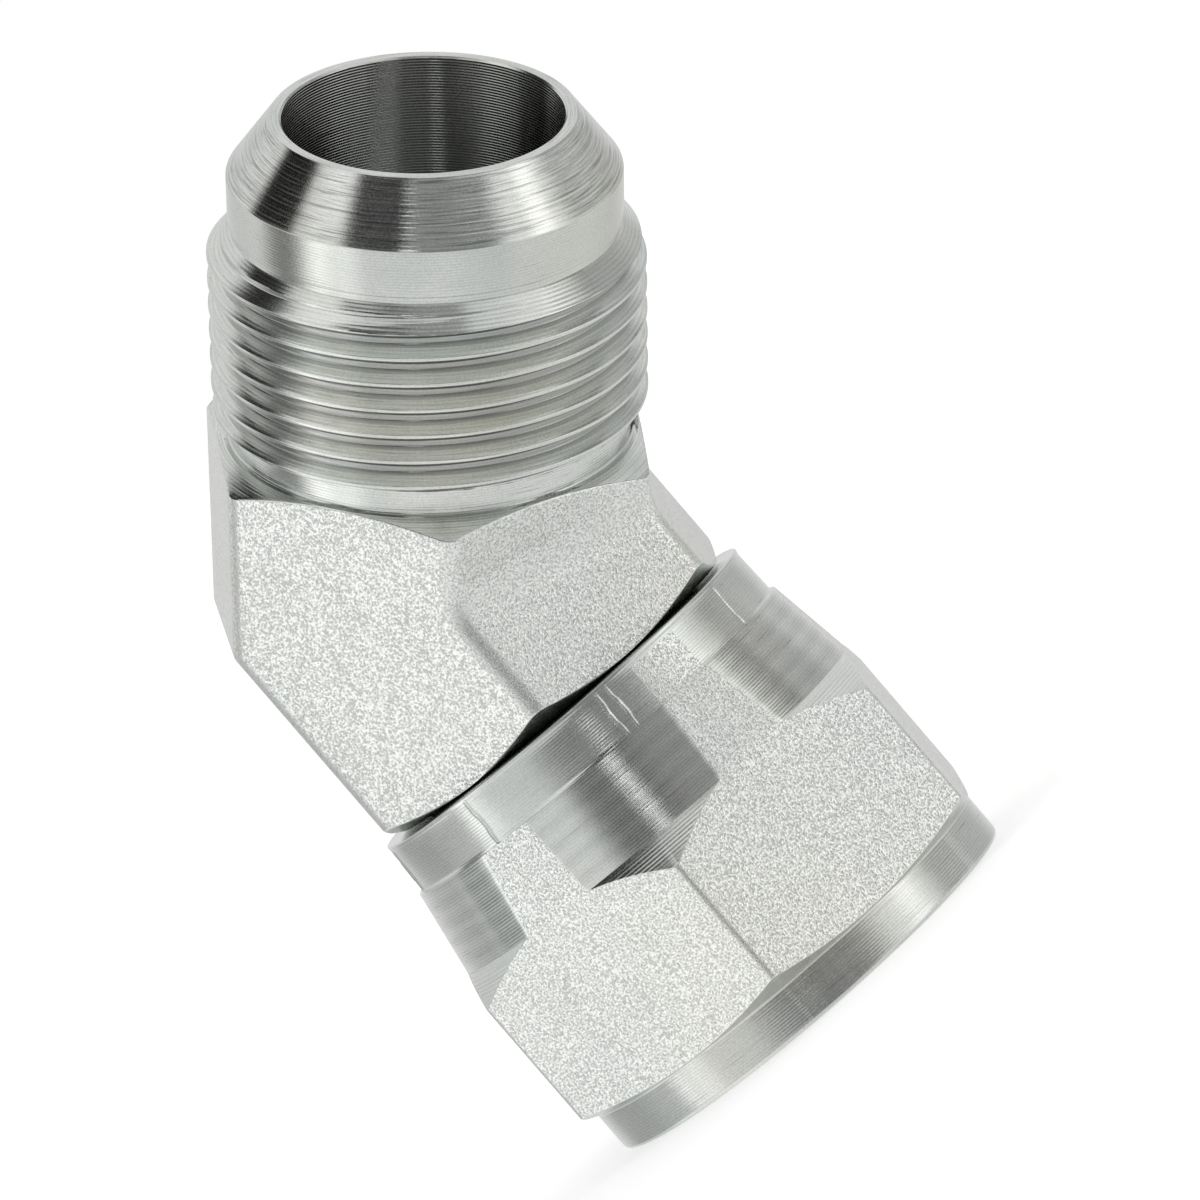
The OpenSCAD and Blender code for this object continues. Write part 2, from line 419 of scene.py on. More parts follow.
def shoulder_height(radius):
    """Height of the turned shoulder's cone at a radius."""
    shallow = SHOULDER_H - (radius - SHOULDER_INNER_R) * math.tan(SHOULDER_SLOPE)
    at_break = SHOULDER_H - (SHOULDER_BREAK - SHOULDER_INNER_R) * math.tan(SHOULDER_SLOPE)
    steep = at_break - (radius - SHOULDER_BREAK) * math.tan(SHOULDER_FALL)
    return np.where(radius > SHOULDER_BREAK, steep, shallow)


def bend_radius(angles):
    """Radius of the blend between the legs: wide inside the bend, tight outside."""
    share = np.clip((np.abs(wrapped(angles)) - BLEND_START) / BLEND_SPAN, 0, 1)
    share = share * share * (3 - 2 * share)
    return INNER_BLEND_R + (OUTER_BLEND_R - INNER_BLEND_R) * share


def add_bend(skin, angles, radius, bend_r):
    """The stretch where both legs meet, as one arc for each column. Gives the height where it ends."""
    mitre = radius * np.cos(angles) * math.tan(BEND / 2)
    meeting = placed(radius, mitre, angles, MALE_INNER, MALE_AXIS)
    towards = unit(MALE_AXIS + TAIL_AXIS)
    centre = meeting + (bend_r / math.cos(BEND / 2))[:, None] * towards
    rows = []
    for turn in np.linspace(0, BEND, BEND_ROWS):
        outward = math.cos(turn) * TAIL_INNER + math.sin(turn) * TAIL_AXIS
        rows.append(centre - bend_r[:, None] * outward)
    skin.grid(np.stack(rows), FORGED)
    return mitre + bend_r * math.tan(BEND / 2)


def add_leg(skin, corners, angles, inner, axis):
    """A leg's forged side from the bend, the rounded edge at its end, and its first turned rows."""
    rows, middles = rounded_profile(column_corners(len(angles), corners), [0, LEG_END_ROUND, 0], 5)
    points = placed(rows[..., 0].T, rows[..., 1].T, angles, inner, axis)
    edge = middles[1]
    skin.grid(points[:edge + 1], FORGED)
    skin.grid(points[edge:], TURNED)


def add_bore(skin, mouth, row_count, angles, inner, axis):
    """A bore's wall from its mouth to where both bores meet."""
    meeting = BORE_R * np.cos(angles) * math.tan(BEND / 2)
    heights = mouth + (meeting - mouth) * np.linspace(0, 1, row_count)[:, None]
    skin.grid(placed(np.full(heights.shape, BORE_R), heights, angles, inner, axis), INSIDE)


def add_male_end(skin, angles, shoulder_r):
    """Shoulder, relief, thread, land, cone and mouth, down to the bore."""
    frame_of = (angles, MALE_INNER, MALE_AXIS)
    shares = np.linspace(0, 1, SHOULDER_ROWS)[:, None]
    radii = shoulder_r + (SHOULDER_INNER_R - shoulder_r) * shares
    skin.grid(placed(radii, shoulder_height(radii), *frame_of), TURNED)
    foot = [
        (SHOULDER_INNER_R, SHOULDER_H, 0),
        (RELIEF_R, SHOULDER_H, RELIEF_FILLET),
        (RELIEF_R, RELIEF_TOP, 0),
    ]
    skin.grid(revolved(table_profile(foot, 7), *frame_of), TURNED)
    add_male_thread(skin, angles)
    nose = [
        (GROOVE_MOUTH_R, GROOVE_FOOT, 0),
        (GROOVE_R, GROOVE_FOOT + 0.1, 0.05),
        (GROOVE_R, GROOVE_TOP, 0.05),
        (LAND_R, LAND_FOOT, 0.05),
        (LAND_R, LAND_TOP, 0.25),
        (NOSE_R, NOSE_REACH, 0.12),
        (BORE_R + MOUTH_BREAK, NOSE_REACH, 0.05),
        (BORE_R, NOSE_REACH - MOUTH_BREAK, 0),
    ]
    skin.grid(revolved(refined(table_profile(nose, 6), 0.6), *frame_of), TURNED)
    add_bore(skin, NOSE_REACH - MOUTH_BREAK, MALE_BORE_ROWS, *frame_of)


def add_male_thread(skin, angles):
    """The male thread from the relief to the groove, with its chamfered ends."""
    profile = thread_profile(THREAD_R, THREAD_R - THREAD_DEPTH, THREAD_CREST_ROUND, THREAD_ROOT_ROUND)
    limit_h = [RELIEF_TOP, THREAD_FOOT, THREAD_TOP, GROOVE_FOOT]
    limit_r = [RELIEF_R, THREAD_R, THREAD_R, GROOVE_MOUTH_R]

    def limit(heights, radii):
        return np.minimum(radii, np.interp(heights, limit_h, limit_r))

    crest_at_zero = CREST_HEIGHT - PITCH * CREST_ANGLE / TURN
    heights, radii, shift = helix_grid(profile, angles, RELIEF_TOP, GROOVE_FOOT, crest_at_zero, limit)
    skin.grid(placed(radii, heights, angles, MALE_INNER, MALE_AXIS), TURNED, shift)


def add_tail(skin, angles):
    """Leg's end face, neck, head, rim, seat and the bore up to the bend.

    The table's heights are along Z from the nut's mouth.
    """
    frame_of = (angles, TAIL_INNER, TAIL_AXIS)
    seat_top = SEAT_DEPTH + (SEAT_R - BORE_R) / math.tan(FLARE)
    tail = [
        (LEG_APOTHEM, LEG_END, 0),
        (TAIL_NECK_R, LEG_END, TAIL_FILLET),
        (TAIL_NECK_R, HEAD_TOP + HEAD_R - TAIL_NECK_R, 0.2),
        (HEAD_R, HEAD_TOP, 0.2),
        (HEAD_R, SEAT_DEPTH, HEAD_BREAK),
        (SEAT_R, SEAT_DEPTH, 0.1),
        (BORE_R, seat_top, 0),
    ]
    rows = table_profile(tail, 6)
    rows[:, 1] = CENTRE_HEIGHT - rows[:, 1]
    skin.grid(revolved(refined(rows, 0.8), *frame_of), TURNED)
    add_bore(skin, CENTRE_HEIGHT - seat_top, TAIL_BORE_ROWS, *frame_of)


def make_elbow(materials):
    """The forged elbow as one closed mesh."""
    skin = Skin()
    angles, leg_r = elbow_columns()
    bend_end = add_bend(skin, angles, leg_r, bend_radius(angles))
    shoulder_r = leg_r - SHOULDER_EDGE
    male_leg = [
        (leg_r, bend_end),
        (leg_r, shoulder_height(leg_r)),
        (shoulder_r, shoulder_height(shoulder_r)),
    ]
    add_leg(skin, male_leg, angles, MALE_INNER, MALE_AXIS)
    face_h = CENTRE_HEIGHT - LEG_END
    tail_leg = [
        (leg_r, bend_end),
        (leg_r, face_h - (leg_r - LEG_APOTHEM) * math.tan(LEG_END_SLOPE)),
        (LEG_APOTHEM, face_h),
    ]
    add_leg(skin, tail_leg, angles, TAIL_INNER, TAIL_AXIS)
    add_male_end(skin, angles, shoulder_r)
    add_tail(skin, angles)
    return skin.build("elbow_forging", materials)


def crimp_turn(from_flat, height):
    """How far the neck's columns turn at a height to follow the edges of its flats, and their radius."""
    foot_edge = math.acos(NUT_APOTHEM / NECK_R)
    rise = height - NECK_FOOT
    cone = NECK_R - rise * math.tan(NECK_LEAN)
    apothem = NUT_APOTHEM - rise * math.tan(FLAT_LEAN)
    edge = math.acos(apothem / cone)
    turn = np.interp(np.abs(from_flat), [0, foot_edge, SIDE / 2], [0, edge - foot_edge, 0])
    turn = turn * np.sign(from_flat)
    return turn, np.minimum(cone, apothem / np.cos(from_flat + turn))


def side_number(angles):
    """Number of the nut's side that an angle lies on, from 0 to 5."""
    return (np.asarray(angles) // SIDE).astype(int) % 6


def off_flat(angles):
    """Angle from the middle of the nearest flat."""
    return (angles - math.radians(30) + SIDE / 2) % SIDE - SIDE / 2


def crimp_ridges():
    """Angles of the burrs that the crimping dies left, and of the strips between the double ones."""
    singles = CRIMP_FIRST + np.arange(0, DIES, 2) * DIE_SPAN
    doubles = CRIMP_FIRST + np.arange(1, DIES, 2) * DIE_SPAN
    return np.concatenate([singles, doubles - CRIMP_PAIR / 2, doubles + CRIMP_PAIR / 2]), doubles


def nut_columns():
    """Angles around the nut from one of its corners, the hexagon's radius at each, and a patch.

    The patch is half the angle that a flat takes up at the foot of the neck.
    """
    corners = NUT_CORNER * np.array([[math.cos(a), math.sin(a)] for a in np.arange(6) * SIDE])
    arcs = rounded_outline(corners, NUT_EDGE_R, 7)
    patch = math.acos(NUT_APOTHEM / NECK_R)
    flats = math.radians(30) + np.arange(6) * SIDE
    # Columns that lie on the crimp's burrs once they have turned with the neck
    fine = np.arange(0, TURN, math.radians(0.05))
    turned = fine + crimp_turn(off_flat(fine), CRIMP_HEIGHT)[0]
    near = crimp_ridges()[0][:, None] + CRIMP_BURR_WIDTH * np.linspace(-3.2, 3.2, 13)
    burrs = np.interp((near.ravel() - NUT_TURN) % TURN, turned, fine)
    arc_angles = np.arctan2(arcs[:, 1], arcs[:, 0])
    angles = spread_angles(np.concatenate([arc_angles, flats - patch, flats + patch, burrs]))
    return angles, polar_radius(rounded_outline(corners, NUT_EDGE_R, 25), angles), patch


def crimp_relief(place, height):
    """What the crimping dies add to the band's radius: flatter stretches, and burrs between them."""
    burrs, doubles = crimp_ridges()
    across_die = ((place - CRIMP_FIRST) % DIE_SPAN) / (DIE_SPAN / 2) - 1
    relief = -CRIMP_FLATTEN * (1 - across_die ** 2)
    wave = sum(reach * np.sin(height * rate + start) for reach, rate, start in BURR_WAVES)
    for number, burr in enumerate(burrs):
        lean = CRIMP_BURR_WIDTH * BURR_WANDER * wave * math.cos(number * BURR_STEP)
        away = wrapped(place - burr - lean) / CRIMP_BURR_WIDTH
        relief = relief + CRIMP_BURR * np.exp(-away ** 2)
    for double in doubles:
        away = wrapped(place - double) / (CRIMP_PAIR / 2)
        relief = relief - CRIMP_BURR * STRIP_DEPTH * np.clip(STRIP_EDGE - away ** 4, 0, 1)
    fade_h = [CRIMP_HEIGHT, CRIMP_HEIGHT + BAND_STEP, NUT_LENGTH - 0.5, NUT_LENGTH - 0.2]
    return relief * np.interp(height, fade_h, [0, 1, 1, 0])


def nut_ring(angles, radius, height, turn=0.0):
    """Points of the nut at radius and height, their columns turned by turn."""
    radius, height = np.broadcast_arrays(radius, height)
    place = angles + turn + NUT_TURN
    return np.stack([radius * np.cos(place), radius * np.sin(place), height * np.ones(radius.shape)], -1)


def add_hexagon(skin, angles, hex_r, foot_r, neck_finish):
    """Mouth, collar and hexagon, up to the foot of the neck."""
    corners = column_corners(len(angles), [
        (NUT_BORE_R, COUNTERSINK),
        (NUT_BORE_R + COUNTERSINK, 0),
        (COLLAR_R, 0),
        (COLLAR_R, COLLAR_LENGTH),
        (hex_r, COLLAR_LENGTH + (hex_r - COLLAR_R) * math.tan(FRONT_SLOPE)),
        (hex_r, np.minimum(HEX_HEIGHT + NUT_CORNER - hex_r, NECK_FOOT)),
        (foot_r, NECK_FOOT),
    ])
    rows, middles = rounded_profile(corners, [0, 0.1, COLLAR_BREAK, 0.25, 0.15, 0.15, 0], 5)
    points = nut_ring(angles, rows[..., 0].T, rows[..., 1].T)
    front_edge = middles[4]
    rear_edge = middles[5]
    skin.grid(points[:front_edge + 1], TURNED)
    skin.grid(points[front_edge:rear_edge + 1], FORGED)
    skin.grid(points[rear_edge:], neck_finish)


def add_neck(skin, angles, foot_r, neck_finish):
    """The leaning neck with its flats. Gives its columns' turn and radius at the crimp."""
    from_flat = off_flat(angles)
    rows = []
    for height in np.linspace(NECK_FOOT, CRIMP_HEIGHT, NECK_ROWS):
        turn, radius = crimp_turn(from_flat, height)
        rows.append(nut_ring(angles, foot_r if height == NECK_FOOT else radius, height, turn))
    skin.grid(np.stack(rows), neck_finish)
    return turn, radius


def add_band(skin, angles, neck_turn, neck_r, blasted):
    """The crimped band, the rim pressed in at the rear, and the chamber down to the thread."""
    start_r = np.minimum(neck_r, BAND_R)
    rings = [nut_ring(angles, radius, CRIMP_HEIGHT, neck_turn) for radius in (neck_r, start_r)]
    skin.grid(np.stack(rings), TURNED)
    foot = np.array([BAND_R, CRIMP_HEIGHT + BAND_STEP])
    top = np.array([BAND_TOP_R, NUT_LENGTH])
    rises = np.linspace(0, 1, BAND_ROWS)[1:-1, None]
    corners = column_corners(len(angles), [
        (start_r, CRIMP_HEIGHT),
        foot,
        *(foot + (top - foot) * rises),
        top,
        (RIM_R + TAIL_FILLET, NUT_LENGTH),
        (RIM_R, NUT_LENGTH - TAIL_FILLET),
        (RIM_R, RIM_FOOT),
        (CHAMBER_R, CHAMBER_TOP),
        (CHAMBER_R, NUT_BORE_DEPTH + NUT_BORE_R - CHAMBER_R),
        (NUT_BORE_R, NUT_BORE_DEPTH),
    ])
    roundings = [0, 0.2] + [0] * len(rises) + [REAR_BREAK, 0.2, 0.2, 0.2, 0.3, 0.2, 0]
    rows, middles = rounded_profile(corners, roundings, 6)
    blasted_top = middles[len(rises)]
    outside = slice(0, middles[len(rises) + 2] + 1)
    inside_from = middles[len(rises) + 3]
    # The columns' turn at the crimp fades out on the round faces inside the nut
    turned_back = np.linspace(1, 0, rows.shape[-2] - inside_from)
    turn = np.concatenate([np.ones(inside_from), turned_back])[:, None] * neck_turn
    radii = rows[..., 0].T.copy()
    heights = rows[..., 1].T
    place = (angles + neck_turn + NUT_TURN)[None, :]
    radii[outside] += crimp_relief(place, heights[outside])
    points = nut_ring(angles, radii, heights, turn)
    skin.grid(points[:blasted_top + 1], np.where(blasted, FORGED, TURNED))
    skin.grid(points[blasted_top:inside_from + 1], TURNED)
    skin.grid(points[inside_from:], INSIDE)


def add_nut_thread(skin, angles):
    """The female thread, run out at both ends."""
    minor_r = NUT_BORE_R - THREAD_DEPTH
    profile = thread_profile(minor_r, NUT_BORE_R, NUT_CREST_ROUND, NUT_ROOT_ROUND)
    limit_h = [
        COUNTERSINK,
        COUNTERSINK + THREAD_DEPTH,
        NUT_BORE_DEPTH - 1.5,
        NUT_BORE_DEPTH - 0.4,
        NUT_BORE_DEPTH,
    ]
    limit_r = [NUT_BORE_R, minor_r, minor_r, NUT_BORE_R, NUT_BORE_R]

    def limit(heights, radii):
        return np.maximum(radii, np.interp(heights, limit_h, limit_r))

    heights, radii, shift = helix_grid(profile, angles, COUNTERSINK, NUT_BORE_DEPTH, 0.0, limit)
    skin.grid(nut_ring(angles, radii, heights), INSIDE, shift)


def make_nut(materials):
    """The crimped nut as one closed mesh."""
    skin = Skin()
    angles, hex_r, patch = nut_columns()
    middle = (angles + np.append(angles[1:], angles[0] + TURN)) / 2
    on_flat = np.abs(off_flat(middle)) < patch
    neck_finish = np.where(on_flat, FORGED, TURNED)
    foot_r = np.minimum(hex_r, NECK_R)
    add_hexagon(skin, angles, hex_r, foot_r, neck_finish)
    neck_turn, neck_r = add_neck(skin, angles, foot_r, neck_finish)
    blasted = np.isin(side_number(middle), BLASTED_SIDES) & on_flat
    add_band(skin, angles, neck_turn, neck_r, blasted)
    add_nut_thread(skin, angles)
    return skin.build("hex_nut", materials)


class Tree:
    """Short way to write a material's or the world's nodes."""

    def __init__(self, name="", world=None):
        self.material = world or bpy.data.materials.new(name)
        self.material.use_nodes = True
        self.nodes = self.material.node_tree.nodes
        self.links = self.material.node_tree.links
        self.shader = self.nodes["Background" if world else "Principled BSDF"]

    def add(self, kind, inputs=(), **settings):
        node = self.nodes.new(kind)
        for key, value in settings.items():
            setattr(node, key, value)
        for name, value in dict(inputs).items():
            self.put(node.inputs[name], value)
        return node

    def put(self, socket, value):
        if isinstance(value, bpy.types.NodeSocket):
            self.links.new(value, socket)
        else:
            socket.default_value = value

    def math(self, operation, *values):
        node = self.add("ShaderNodeMath", operation=operation)
        for socket, value in zip(node.inputs, values):
            self.put(socket, value)
        return node.outputs[0]

    def vector(self, operation, *values):
        """Output of a vector node. Only dot products and lengths are numbers."""
        node = self.add("ShaderNodeVectorMath", operation=operation)
        for socket, value in zip(node.inputs, values):
            self.put(socket, value)
        return node.outputs["Value" if operation in ("DOT_PRODUCT", "LENGTH") else "Vector"]

    def noise(self, coordinates, scale, detail, roughness=0.5):
        inputs = {"Vector": coordinates, "Scale": scale, "Detail": detail, "Roughness": roughness}
        return self.add("ShaderNodeTexNoise", inputs).outputs["Fac"]

    def remap(self, value, low, high, to_low, to_high, curve="LINEAR"):
        inputs = {"Value": value, "From Min": low, "From Max": high, "To Min": to_low, "To Max": to_high}
        return self.add("ShaderNodeMapRange", inputs, interpolation_type=curve).outputs["Result"]

    def mixed(self, share, a, b):
        return self.add("ShaderNodeMix", {"Factor": share, "A": a, "B": b}).outputs["Result"]

    def blend(self, share, a, b):
        node = self.add("ShaderNodeMix", data_type="RGBA")
        self.put(node.inputs["Factor"], share)
        self.put(node.inputs["A"], a)
        self.put(node.inputs["B"], b)
        return node.outputs["Result"]

    def total(self, *terms):
        """Sum of pairs of a value and its weight."""
        result = 0.0
        for value, weight in terms:
            result = self.math("ADD", result, self.math("MULTIPLY", value, weight))
        return result

    def bump(self, height, distance):
        inputs = {"Height": height, "Distance": distance, "Strength": 1.0}
        return self.add("ShaderNodeBump", inputs).outputs["Normal"]

    def place(self):
        return self.add("ShaderNodeTexCoord").outputs["Object"]


# Colours of the plating: two tones, a warm tint, painted shade in the dimples and a painted highlight on
# their tops, and a dark colour for specks, grooves, streaks, scratches and painted shade
BLASTED_DULL = (0.622, 0.648, 0.616, 1)
BLASTED_LIGHT = (0.685, 0.7, 0.672, 1)
BLASTED_WARM = (0.69, 0.69, 0.625, 1)
DIMPLE_PAINTED_SHADE = (0.1, 0.11, 0.1, 1)
DIMPLE_PAINTED_HIGHLIGHT = (0.95, 0.96, 0.94, 1)
TURNED_DULL = (0.655, 0.69, 0.66, 1)
TURNED_LIGHT = (0.74, 0.755, 0.725, 1)
TURNED_WARM = (0.75, 0.735, 0.65, 1)
DARK_SOIL_AND_SHADE = (0.12, 0.12, 0.12, 1)
BLACK = (0, 0, 0, 1)

# Sizes of the noises, in cells to the metre
DIMPLE_SCALE = 5600
UNEVEN_SCALE = 900
BLASTED_CLOUD_SCALE = 90
BLASTED_TINT_SCALE = 38
RING_SCALE = 4600
SPECK_SCALE = 6500
TURNED_CLOUD_SCALE = 110
TURNED_TINT_SCALE = 45
# A streak is long round the axis, and fine along and across it
STREAK_SCALE = 240
STREAK_AROUND = 0.015
STREAK_FINE = 45.0

# Heights of the relief and the lathe's feed along and across its axis, in metres
BLASTED_RELIEF = 0.000018
TURNED_RELIEF = 0.00001
FEED_ALONG = 0.00023
FEED_ACROSS = 0.00026

# Softness of the edges of a marked stretch, in millimetres along and across
STRETCH_SOFT = 0.2
STRETCH_DEEP = 0.35


def blasted_zinc(name):
    """Plated steel with the fine dimples of shot blasting, with painted shade in the dimples and painted
    highlights on their tops.
    """
    tree = Tree(name)
    place = tree.place()
    grain = tree.noise(place, DIMPLE_SCALE, 2.0, 0.55)
    rims = tree.math("SUBTRACT", 1.0, tree.math("ABSOLUTE", tree.remap(grain, 0.3, 0.7, -1, 1)))
    uneven = tree.noise(place, UNEVEN_SCALE, 2.0)
    cloud = tree.noise(place, BLASTED_CLOUD_SCALE, 3.0)
    tint = tree.noise(place, BLASTED_TINT_SCALE, 1.0)
    metal = tree.blend(tree.remap(cloud, 0.35, 0.65, 0, 1), BLASTED_DULL, BLASTED_LIGHT)
    metal = tree.blend(tree.remap(tint, 0.5, 0.65, 0, 0.6), metal, BLASTED_WARM)
    raised = tree.remap(grain, 0.32, 0.6, 0, 1)
    # Painted shade darkens the dimples and painted highlights brighten their tops
    shaded_pits = tree.blend(0.81, DIMPLE_PAINTED_SHADE, metal)
    highlighted_peaks = tree.blend(0.47, metal, DIMPLE_PAINTED_HIGHLIGHT)
    height = tree.total((rims, 1.0), (grain, 2.0), (uneven, 0.8))
    tree.put(tree.shader.inputs["Base Color"], tree.blend(raised, shaded_pits, highlighted_peaks))
    tree.put(tree.shader.inputs["Roughness"], tree.remap(raised, 0, 1, 0.3, 0.18))
    tree.put(tree.shader.inputs["Normal"], tree.bump(height, BLASTED_RELIEF))
    tree.shader.inputs["Metallic"].default_value = 1
    return tree.material


def lathe_coordinates(tree, origin, axis):
    """Distances along and across a lathe's axis, and the way out from it."""
    from_origin = tree.vector("SUBTRACT", tree.place(), tuple(np.array(origin) * MM))
    along = tree.vector("DOT_PRODUCT", from_origin, axis)
    radial = tree.vector("SUBTRACT", from_origin, tree.vector("MULTIPLY", axis, along))
    return along, tree.vector("LENGTH", radial), radial


def spread_reflections(tree, axis, radial, amount):
    """The grooves spread a reflection square to themselves, along the outline."""
    around = tree.vector("CROSS_PRODUCT", axis, radial)
    facing = tree.add("ShaderNodeTexCoord").outputs["Normal"]
    to_world = tree.add(
        "ShaderNodeVectorTransform", {"Vector": tree.vector("CROSS_PRODUCT", around, facing)},
        vector_type="VECTOR", convert_from="OBJECT", convert_to="WORLD",
    )
    tree.put(tree.shader.inputs["Tangent"], to_world.outputs["Vector"])
    tree.shader.inputs["Anisotropic"].default_value = amount


def streak_noise(tree, axis, along, across, radial):
    """Streaks are short stretches of the lathe's rings."""
    outward = tree.vector("NORMALIZE", radial)
    curved = tree.vector("MULTIPLY", outward, (STREAK_AROUND, STREAK_AROUND, STREAK_AROUND))
    drawn = tree.vector("MULTIPLY", axis, tree.math("MULTIPLY", along, STREAK_FINE))
    inputs = {
        "Vector": tree.vector("ADD", curved, drawn),
        "W": tree.math("MULTIPLY", across, STREAK_FINE),
        "Scale": STREAK_SCALE,
        "Detail": 3.0,
        "Roughness": 0.6,
    }
    return tree.add("ShaderNodeTexNoise", inputs, noise_dimensions="4D").outputs["Fac"]


def marked_stretch(tree, along, across, low, high, reach):
    """Share of a marked stretch, where scratches and painted shade go: one between two heights along the
    axis and within a reach of it, else none.
    """
    above = tree.remap(along, (low - STRETCH_SOFT) * MM, (low + STRETCH_SOFT) * MM, 0, 1)
    below = tree.remap(along, (high - STRETCH_SOFT) * MM, (high + STRETCH_SOFT) * MM, 1, 0)
    within = tree.remap(across, (reach - STRETCH_DEEP) * MM, reach * MM, 1, 0)
    return tree.math("MULTIPLY", tree.math("MULTIPLY", above, below), within)


def turned_zinc(name, origin, axis, feed_depth, roughness, groove_spread=0.85, shade=1.0, wear_and_shade=()):
    """Plated steel with the fine rings of the lathe around an axis.

    The shade scales its colour down, as painted shade inside a bore. The last argument holds stretches
    along the axis: from, to, reach from the axis, painted shade, scratches.
    """
    tree = Tree(name)
    axis = tuple(axis)
    along, across, radial = lathe_coordinates(tree, origin, axis)
    spread_reflections(tree, axis, radial, groove_spread)
    place = tree.place()
    ring_place = tree.add("ShaderNodeCombineXYZ", {"X": along, "Y": across}).outputs["Vector"]
    rings = tree.noise(ring_place, RING_SCALE, 2.0, 0.6)
    feed = tree.math(
        "ADD",
        tree.math("SINE", tree.math("MULTIPLY", along, TURN / FEED_ALONG)),
        tree.math("SINE", tree.math("MULTIPLY", across, TURN / FEED_ACROSS)),
    )
    streaks = streak_noise(tree, axis, along, across, radial)
    grain = tree.noise(place, SPECK_SCALE, 1.0)
    cloud = tree.noise(place, TURNED_CLOUD_SCALE, 3.0)
    tint = tree.noise(place, TURNED_TINT_SCALE, 1.0)

    metal = tree.blend(tree.remap(cloud, 0.35, 0.65, 0, 1), TURNED_DULL, TURNED_LIGHT)
    metal = tree.blend(tree.remap(tint, 0.5, 0.68, 0, 0.5), metal, TURNED_WARM)
    specks = tree.remap(grain, 0.3, 0.7, 0.16, 0)
    grooves = tree.remap(feed, -2, 2, 0.2, 0)
    metal = tree.blend(tree.math("ADD", specks, grooves), metal, DARK_SOIL_AND_SHADE)
    cloudy = tree.remap(cloud, 0.4, 0.6, 0.3, 1)
    soil_and_shade = tree.math("MULTIPLY", tree.remap(streaks, 0.6, 0.7, 0, 0.7), cloudy)
    # Each stretch is darkened by its painted shade, as in the thread's roots, and by its scratches
    for low, high, reach, dirt, scratches in wear_and_shade:
        inside = marked_stretch(tree, along, across, low, high, reach)
        scored = tree.math("MULTIPLY", inside, tree.remap(streaks, 0.5, 0.62, 0, scratches))
        dirty = tree.math("MULTIPLY", inside, dirt)
        soil_and_shade = tree.math("MAXIMUM", soil_and_shade, tree.math("MAXIMUM", scored, dirty))
    # The shade scales the colour down, painted shade for the inside of a bore
    colour = tree.blend(shade, BLACK, tree.blend(soil_and_shade, metal, DARK_SOIL_AND_SHADE))
    tree.put(tree.shader.inputs["Base Color"], colour)
    uneven = tree.remap(grain, 0.3, 0.7, roughness * 0.85, roughness * 1.15)
    tree.put(tree.shader.inputs["Roughness"], uneven)
    height = tree.total((rings, 0.8), (feed, feed_depth), (grain, 0.2), (streaks, 0.5))
    tree.put(tree.shader.inputs["Normal"], tree.bump(height, TURNED_RELIEF))
    tree.shader.inputs["Metallic"].default_value = 1
    return tree.material


def elbow_materials(forged):
    """Finishes of the elbow: forged faces, the turned male end and tail, and the bores."""
    # Painted shade darkens the thread's roots, and the nose cone is scored where joints were made on it
    root_shade_and_cone_wear = [
        (THREAD_FOOT, THREAD_TOP, THREAD_R - THREAD_DEPTH + 0.4, 0.45, 0.5),
        (LAND_TOP + 0.2, NOSE_REACH, LAND_R + 1, 0.0, 0.6),
    ]
    outside = turned_zinc(
        "turned_zinc_male", CENTRE, MALE_AXIS, feed_depth=0.2, roughness=0.17, wear_and_shade=root_shade_and_cone_wear,
    )
    # The male bore's colour is darkened as painted shade inside the hole
    bored = turned_zinc(
        "bored_zinc_male", CENTRE, MALE_AXIS,
        feed_depth=2.1, roughness=0.2, groove_spread=0.94, shade=0.54,
    )
    return [forged, outside, bored]


def nut_materials(forged):
    """Finishes of the nut: blasted flats, turned faces, and the inside."""
    axis = (0, 0, 1)
    outside = turned_zinc("turned_zinc_nut", (0, 0, 0), axis, feed_depth=0.32, roughness=0.18)
    # The nut's inside is darkened a little as painted shade
    bored = turned_zinc(
        "bored_zinc_nut", (0, 0, 0), axis,
        feed_depth=0.6, roughness=0.3, groove_spread=0.9, shade=0.85,
    )
    return [forged, outside, bored]


FLOOR_HALF = 2.5
FLOOR_COLOUR = (0.9, 0.9, 0.9, 1)
FLOOR_GLOW = 0.45
WHITE = (1, 1, 1, 1)


def make_floor():
    """Plain pale floor that the object stands on.

    It is white to the camera and keeps the object's shadow.
    """
    mesh = bpy.data.meshes.new("floor")
    corners = [(-1, -1, 0), (1, -1, 0), (1, 1, 0), (-1, 1, 0)]
    mesh.from_pydata([(x * FLOOR_HALF, y * FLOOR_HALF, z) for x, y, z in corners], [], [(0, 1, 2, 3)])
    floor = bpy.data.objects.new("floor", mesh)
    bpy.context.scene.collection.objects.link(floor)
    floor.visible_glossy = False
    tree = Tree("pale_floor")
    tree.shader.inputs["Base Color"].default_value = FLOOR_COLOUR
    tree.shader.inputs["Roughness"].default_value = 1
    tree.shader.inputs["Specular IOR Level"].default_value = 0
    glow = tree.add("ShaderNodeEmission", {"Color": WHITE, "Strength": FLOOR_GLOW})
    lit = tree.add("ShaderNodeAddShader")
    tree.links.new(tree.shader.outputs[0], lit.inputs[0])
    tree.links.new(glow.outputs[0], lit.inputs[1])
    path = tree.add("ShaderNodeLightPath")
    choice = tree.add("ShaderNodeMixShader")
    tree.links.new(path.outputs["Is Camera Ray"], choice.inputs[0])
    tree.links.new(tree.shader.outputs[0], choice.inputs[1])
    tree.links.new(lit.outputs[0], choice.inputs[2])
    tree.links.new(choice.outputs[0], tree.nodes["Material Output"].inputs["Surface"])
    mesh.materials.append(tree.material)


